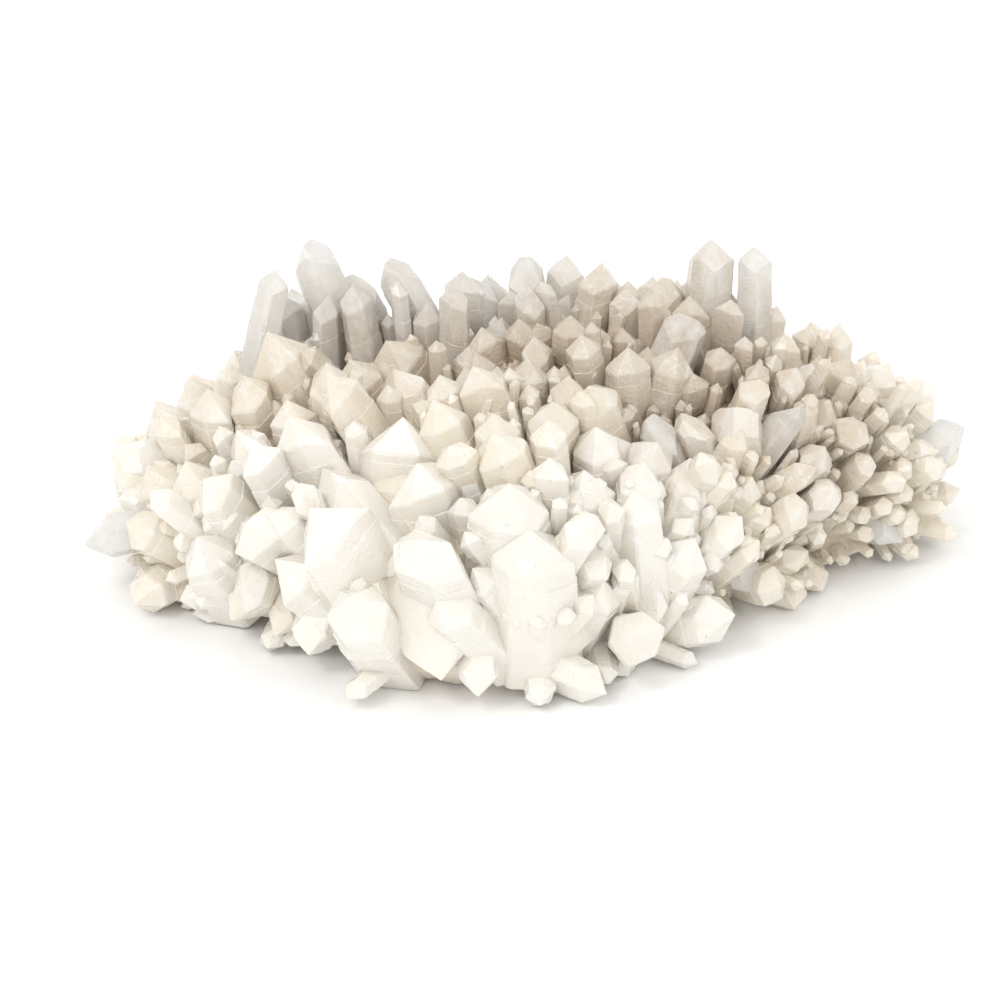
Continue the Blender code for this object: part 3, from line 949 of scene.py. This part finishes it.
def stain_and_shade_group() -> bpy.types.NodeTree:
    """Iron stain strongest at the roots, and painted shade in the hollow right of the middle, both broken by
    noise.
    """
    tree, board, given, result = new_group(
        "iron_stain_and_hollow_shade",
        {"Growth": "NodeSocketFloat", "Reach": "NodeSocketFloat"},
        {"Stain": "NodeSocketFloat", "Speck": "NodeSocketFloat", "Hollow Shade": "NodeSocketFloat"},
    )
    place = board.add("ShaderNodeTexCoord").outputs["Object"]
    patches = board.noise(place, 42.0, 4.0)
    depth = board.math("SUBTRACT", given.outputs["Reach"], given.outputs["Growth"])
    broken = board.math("ADD", depth, board.math("SUBTRACT", patches, 0.5))
    tree.links.new(board.ramp(broken, 0.0, 0.5), result.inputs["Stain"])
    dots = board.ramp(board.noise(place, 620.0, 1.0), 0.74, 0.8)
    gathered = board.math("MULTIPLY", dots, board.ramp(patches, 0.5, 0.62))
    tree.links.new(gathered, result.inputs["Speck"])
    # Painted shade: the mask is full in the hollow right of the middle and fades outwards, broken by noise.
    offset = board.vector_math("SUBTRACT", place, HOLLOW_CENTRE)
    scaled = board.vector_math("DIVIDE", offset.outputs[0], HOLLOW_REACH)
    length = board.add("ShaderNodeVectorMath", {"operation": "LENGTH"}, {0: scaled.outputs[0]})
    uneven = board.math("ADD", length.outputs["Value"], board.math("SUBTRACT", patches, 0.5))
    tree.links.new(board.ramp(uneven, 1.0, 0.2), result.inputs["Hollow Shade"])
    return tree


@dataclass(frozen=True)
class QuartzFinish:
    """One kind of quartz: its colours, veils and stain, the painted shade of the hollow, and how its faces
    shine.
    """

    quartz: Quartz
    pale: tuple
    deep: tuple
    stain: tuple
    stain_reach: float
    stain_share: float
    veil_cover: float
    roughness: float
    transmission: float
    lines: float
    skin: float
    speck_share: float = 0.35
    # Share of the painted shade mixed into the hollow.
    hollow_shade_share: float = 0.8
    veil_share: float = 0.6

    def make(self, groups: dict) -> bpy.types.Material:
        """Build the material.

        Args:
            groups: the shared node groups by name.

        Returns:
            A material whose colour, roughness and bump vary over the surface.
        """
        material = bpy.data.materials.new(self.quartz.value)
        material.use_nodes = True
        board = NodeBoard(material.node_tree)
        shader = material.node_tree.nodes["Principled BSDF"]
        own = board.mark("own", "Vector")
        growth = board.mark("growth", "Fac")
        tint = board.mark("tint", "Fac")
        veils = board.add(
            "ShaderNodeGroup", {"node_tree": groups["veils"]}, {"Own": own, "Cover": self.veil_cover}
        )
        stain = board.add(
            "ShaderNodeGroup", {"node_tree": groups["iron_stain_and_hollow_shade"]},
            {"Growth": growth, "Reach": self.stain_reach},
        )
        relief = board.add(
            "ShaderNodeGroup", {"node_tree": groups["growth_lines"]},
            {"Own": own, "Lines": self.lines, "Skin": self.skin},
        )
        even = board.blend(tint, self.pale, self.deep)
        # Painted shade: the colour in the hollow right of the middle is mixed towards dark beige.
        hollow_shade_mix = board.math("MULTIPLY", stain.outputs["Hollow Shade"], self.hollow_shade_share)
        body = board.blend(hollow_shade_mix, even, HOLLOW_SHADE_BEIGE)
        cloud = board.math("MULTIPLY", veils.outputs["Cloud"], self.veil_share)
        cloudy = board.blend(cloud, body, VEIL_AND_GLINT_WHITE)
        # Thin white cracks: partly healed cracks in the quartz, partly painted glints.
        cracked_and_glinting = board.blend(board.math("MULTIPLY", veils.outputs["Crack Glint"], 0.5), cloudy, VEIL_AND_GLINT_WHITE)
        share = board.math("MULTIPLY", stain.outputs["Stain"], self.stain_share)
        stained = board.blend(share, cracked_and_glinting, self.stain)
        specks = board.math("MULTIPLY", stain.outputs["Speck"], self.speck_share)
        speckled = board.blend(specks, stained, SPECK_BROWN)
        links = material.node_tree.links
        links.new(speckled, shader.inputs["Base Color"])
        spread = board.add(
            "ShaderNodeMapRange", None,
            {"Value": veils.outputs["Cloud"], "To Min": self.roughness, "To Max": self.roughness + 0.16},
        )
        links.new(spread.outputs[0], shader.inputs["Roughness"])
        bump = board.add(
            "ShaderNodeBump", None,
            {"Height": relief.outputs["Height"], "Strength": 0.7, "Distance": 0.25 * MM},
        )
        links.new(bump.outputs[0], shader.inputs["Normal"])
        shader.inputs["IOR"].default_value = QUARTZ_IOR
        shader.inputs["Transmission Weight"].default_value = self.transmission
        return material


FINISHES = (
    QuartzFinish(
        Quartz.CLEAR, pale=(0.96, 0.94, 0.89, 1.0), deep=(0.93, 0.905, 0.845, 1.0),
        stain=(0.80, 0.70, 0.56, 1.0), stain_reach=0.3, stain_share=0.4, veil_cover=0.54,
        roughness=0.03, transmission=0.32, lines=0.8, skin=0.3,
    ),
    QuartzFinish(
        Quartz.GREY, pale=(0.95, 0.92, 0.86, 1.0), deep=(0.91, 0.88, 0.81, 1.0),
        stain=(0.74, 0.65, 0.52, 1.0), stain_reach=0.35, stain_share=0.45, veil_cover=0.5,
        roughness=0.05, transmission=0.26, lines=0.8, skin=0.4,
    ),
    QuartzFinish(
        Quartz.CREAM, pale=(0.97, 0.905, 0.78, 1.0), deep=(0.95, 0.87, 0.725, 1.0),
        stain=(0.90, 0.82, 0.69, 1.0), stain_reach=0.55, stain_share=0.5, veil_cover=0.46,
        roughness=0.08, transmission=0.16, lines=0.6, skin=0.4,
    ),
    QuartzFinish(
        Quartz.MILKY, pale=(0.98, 0.94, 0.86, 1.0), deep=(0.97, 0.915, 0.81, 1.0),
        stain=(0.94, 0.89, 0.79, 1.0), stain_reach=0.5, stain_share=0.5, veil_cover=0.5,
        roughness=0.08, transmission=0.14, lines=0.6, skin=0.4,
    ),
    QuartzFinish(
        Quartz.BEIGE, pale=(0.962, 0.905, 0.81, 1.0), deep=(0.94, 0.87, 0.76, 1.0),
        stain=(0.62, 0.46, 0.31, 1.0), stain_reach=0.6, stain_share=0.6, veil_cover=0.4,
        roughness=0.08, transmission=0.22, lines=0.8, skin=0.5,
    ),
    QuartzFinish(
        Quartz.MATRIX, pale=(0.94, 0.90, 0.82, 1.0), deep=(0.92, 0.87, 0.77, 1.0),
        stain=(0.55, 0.41, 0.28, 1.0), stain_reach=0.5, stain_share=0.5, veil_cover=0.36,
        roughness=0.5, transmission=0.0, lines=0.3, skin=1.0,
    ),
)


# ---------------------------------------------------------------- stage


@dataclass
class Studio:
    """Plain pale floor, soft light and the camera.

    A lamp is its name, its place, the length of its side and its power in watts.
    """

    aim_mm: tuple = (-5.7, -5.5, 23.0)
    elevation: float = math.radians(30)
    distance: float = 1.2
    lens_mm: float = 217.0
    floor_size: float = 6.0
    glint_power: float = 0.4
    glint_size: float = 0.035
    sky_strength: float = 0.92
    target: tuple = (0.0, 0.0, 0.02)
    lamps: tuple = (
        ("key_light", (-0.5, -0.55, 0.95), 0.3, 2.6), ("fill_light", (0.8, -0.4, 0.6), 0.2, 0.6),
        ("back_light", (0.1, 0.9, 0.7), 0.4, 0.5),
    )
    glints: tuple = (
        (-0.7, -0.3, 0.6), (-0.25, -0.8, 0.7), (0.3, -0.7, 0.8), (0.75, -0.1, 0.7), (0.4, 0.6, 0.8),
        (-0.4, 0.65, 0.75), (0.0, 0.1, 1.1),
    )

    def build(self) -> None:
        """Place the floor, the lights, the sky and the camera."""
        self.floor()
        for lamp in self.lamps:
            self.soft_box(*lamp)
        for number, place in enumerate(self.glints):
            self.soft_box(f"glint_light_{number}", place, self.glint_size, self.glint_power)
        world = bpy.data.worlds.new("studio_sky")
        world.use_nodes = True
        sky = world.node_tree.nodes["Background"]
        sky.inputs["Color"].default_value = (1.0, 1.0, 1.0, 1.0)
        sky.inputs["Strength"].default_value = self.sky_strength
        bpy.context.scene.world = world
        bpy.context.scene.view_settings.view_transform = "Standard"
        self.camera()

    def floor(self) -> None:
        """A pale floor just under the resting face."""
        half = self.floor_size / 2
        points = np.array([(-half, -half, 0.0), (half, -half, 0.0), (half, half, 0.0), (-half, half, 0.0)])
        points[:, 2] = -0.1 * MM
        plate = write_mesh("floor", points, [np.array([[0, 1, 2, 3]])], {})
        material = bpy.data.materials.new("pale_floor")
        material.use_nodes = True
        shader = material.node_tree.nodes["Principled BSDF"]
        shader.inputs["Base Color"].default_value = (0.97, 0.97, 0.965, 1.0)
        shader.inputs["Roughness"].default_value = 0.6
        plate.data.materials.append(material)

    def soft_box(self, name: str, place: tuple, size: float, power: float) -> None:
        """A square area light aimed at the cluster.

        Args:
            name: name of the light.
            place: where it stands.
            size: length of its side.
            power: its power in watts.
        """
        light = bpy.data.lights.new(name, "AREA")
        light.size = size
        light.energy = power
        lamp = bpy.data.objects.new(name, light)
        lamp.location = place
        lamp.rotation_euler = (Vector(self.target) - Vector(place)).to_track_quat("-Z", "Y").to_euler()
        bpy.context.scene.collection.objects.link(lamp)

    def camera(self) -> None:
        """A long lens looking down on the cluster from its front."""
        data = bpy.data.cameras.new("camera")
        data.lens = self.lens_mm
        camera = bpy.data.objects.new("camera", data)
        back = Vector((0.0, -math.cos(self.elevation), math.sin(self.elevation)))
        camera.location = Vector(self.aim_mm) * MM + back * self.distance
        camera.rotation_euler = (-back).to_track_quat("-Z", "Y").to_euler()
        bpy.context.scene.collection.objects.link(camera)
        bpy.context.scene.camera = camera


# ---------------------------------------------------------------- the cluster

ZONES = (
    Zone("front", Quartz.MILKY, (-20.0, -36.0), (5.0, 9.0), (28.0, 40.0), (-0.35, 0.0, 1.5)),
    Zone("front_left", Quartz.MILKY, (-46.0, -18.0), (4.2, 7.6), (24.0, 34.0), (-0.5, 0.0, 1.2)),
    Zone("left", Quartz.CREAM, (-74.0, 4.0), (3.4, 6.4), (18.0, 26.0), (-0.4, 0.0, 0.8)),
    Zone("left_upper", Quartz.CREAM, (-62.0, 22.0), (3.2, 6.4), (18.0, 26.0), (-0.3, 0.0, 1.1)),
    Zone("left_middle", Quartz.CREAM, (-36.0, 4.0), (3.8, 7.4), (22.0, 34.0), (-0.4, 0.0, 1.0)),
    Zone("middle", Quartz.BEIGE, (0.0, 6.0), (2.2, 5.4), (18.0, 30.0), (-0.25, 0.0, 1.1)),
    Zone("middle_front", Quartz.CREAM, (0.0, -14.0), (3.0, 6.6), (22.0, 34.0), (-0.3, 0.0, 1.2)),
    Zone("middle_right", Quartz.BEIGE, (32.0, 8.0), (2.2, 5.2), (18.0, 30.0), (-0.2, 0.0, 1.1)),
    Zone("front_right", Quartz.MILKY, (20.0, -28.0), (3.0, 6.6), (22.0, 34.0), (-0.1, 0.0, 1.5)),
    Zone("right_front", Quartz.CREAM, (48.0, -6.0), (2.2, 4.8), (19.0, 30.0), (0.2, 0.0, 1.2)),
    Zone("right", Quartz.CREAM, (74.0, 18.0), (1.8, 3.6), (16.0, 25.0), (0.3, 0.0, 0.8)),
    Zone("right_upper", Quartz.CREAM, (58.0, 22.0), (2.0, 4.4), (17.0, 27.0), (0.2, 0.0, 1.1)),
    Zone("back_row_left", Quartz.CLEAR, (-38.0, 28.0), (2.8, 5.4), (30.0, 40.0), (-0.3, 0.3, 2.6)),
    Zone("back_row_middle", Quartz.GREY, (-4.0, 28.0), (2.8, 5.2), (28.0, 38.0), (-0.1, 0.3, 2.6)),
    Zone("back_row_right", Quartz.BEIGE, (26.0, 30.0), (2.8, 5.2), (28.0, 37.0), (0.1, 0.3, 2.6)),
    Zone("rear_left", Quartz.CREAM, (-38.0, 46.0), (2.4, 4.6), (15.0, 24.0), (0.0, 0.2, 0.6)),
    Zone("rear_right", Quartz.MILKY, (24.0, 50.0), (2.4, 4.6), (15.0, 24.0), (0.0, 0.2, 0.6)),
)

GROWTHS = (
    Growth(
        "_crystals", tries=5200, seed=5, spacing=1.3, radius_share=1.0, length_share=1.0,
        stray=0.24, clear_share=-0.25, bevels=(-0.07, 0.07),
    ),
    Growth(
        "_fine_crystals", tries=4200, seed=6, spacing=1.6, radius_share=0.46, length_share=0.62,
        stray=0.3, clear_share=0.3, bevels=(0.0,),
    ),
)


@dataclass
class Cluster:
    """The whole cluster: named crystals, mound and crust."""

    materials: dict

    def build(self) -> None:
        """Build and dress every piece."""
        prisms = self.named_crystals()
        mound = Mound()
        body = mound.build()
        self.dress(body, Quartz.MATRIX, ["matrix"])
        low, high = np.array(CAD_BOX[0]) / MM, np.array(CAD_BOX[1]) / MM
        crust = Crust(mound, ZONES, prisms, low, high)
        for growth in GROWTHS:
            for piece, quartz in crust.build(growth):
                self.dress(piece, quartz, [])

    def named_crystals(self) -> list:
        """Replace every CAD crystal by its detailed surface.

        Returns:
            The plain prisms of the CAD crystals, in the record's order.
        """
        prisms = []
        for number, part in enumerate(frame["record"]["subparts"]):
            if part["node"] == "matrix":
                continue
            prisms.append(FramePrism(part["node"]))
            crystal = DetailedCrystal(prisms[-1], 100 + 7 * number)
            placed, own, growth, rows, columns = crystal.surface()
            chance = np.random.default_rng(crystal.seed)
            marks = {
                "own": own + chance.uniform(-500.0, 500.0, 3),
                "growth": growth,
                "tint": np.full(len(own), chance.uniform(0.0, 1.0)),
            }
            name = part["node"] + "_surface"
            piece = write_mesh(name, placed * MM, capped_faces(1, rows, columns), marks)
            self.dress(piece, Quartz(part["material_slot"]), [part["node"]])
            LOG.info("%s: %d faces", name, len(piece.data.polygons))
        return prisms

    def dress(self, piece: bpy.types.Object, quartz: Quartz, nodes: list) -> None:
        """Give a piece its material and its place in the frame.

        Args:
            piece: the finished object.
            quartz: its kind of quartz.
            nodes: CAD nodes that it stands for.
        """
        piece.data.materials.append(self.materials[quartz])
        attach(piece, BODY)
        if nodes:
            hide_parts(*nodes)


def main() -> None:
    """Build the stage and the cluster."""
    logging.basicConfig(level=logging.INFO)
    Studio().build()
    groups = {"growth_lines": growth_line_group(), "veils": veil_and_glint_group(), "iron_stain_and_hollow_shade": stain_and_shade_group()}
    materials = {finish.quartz: finish.make(groups) for finish in FINISHES}
    Cluster(materials).build()


if __name__ == "__main__":
    main()
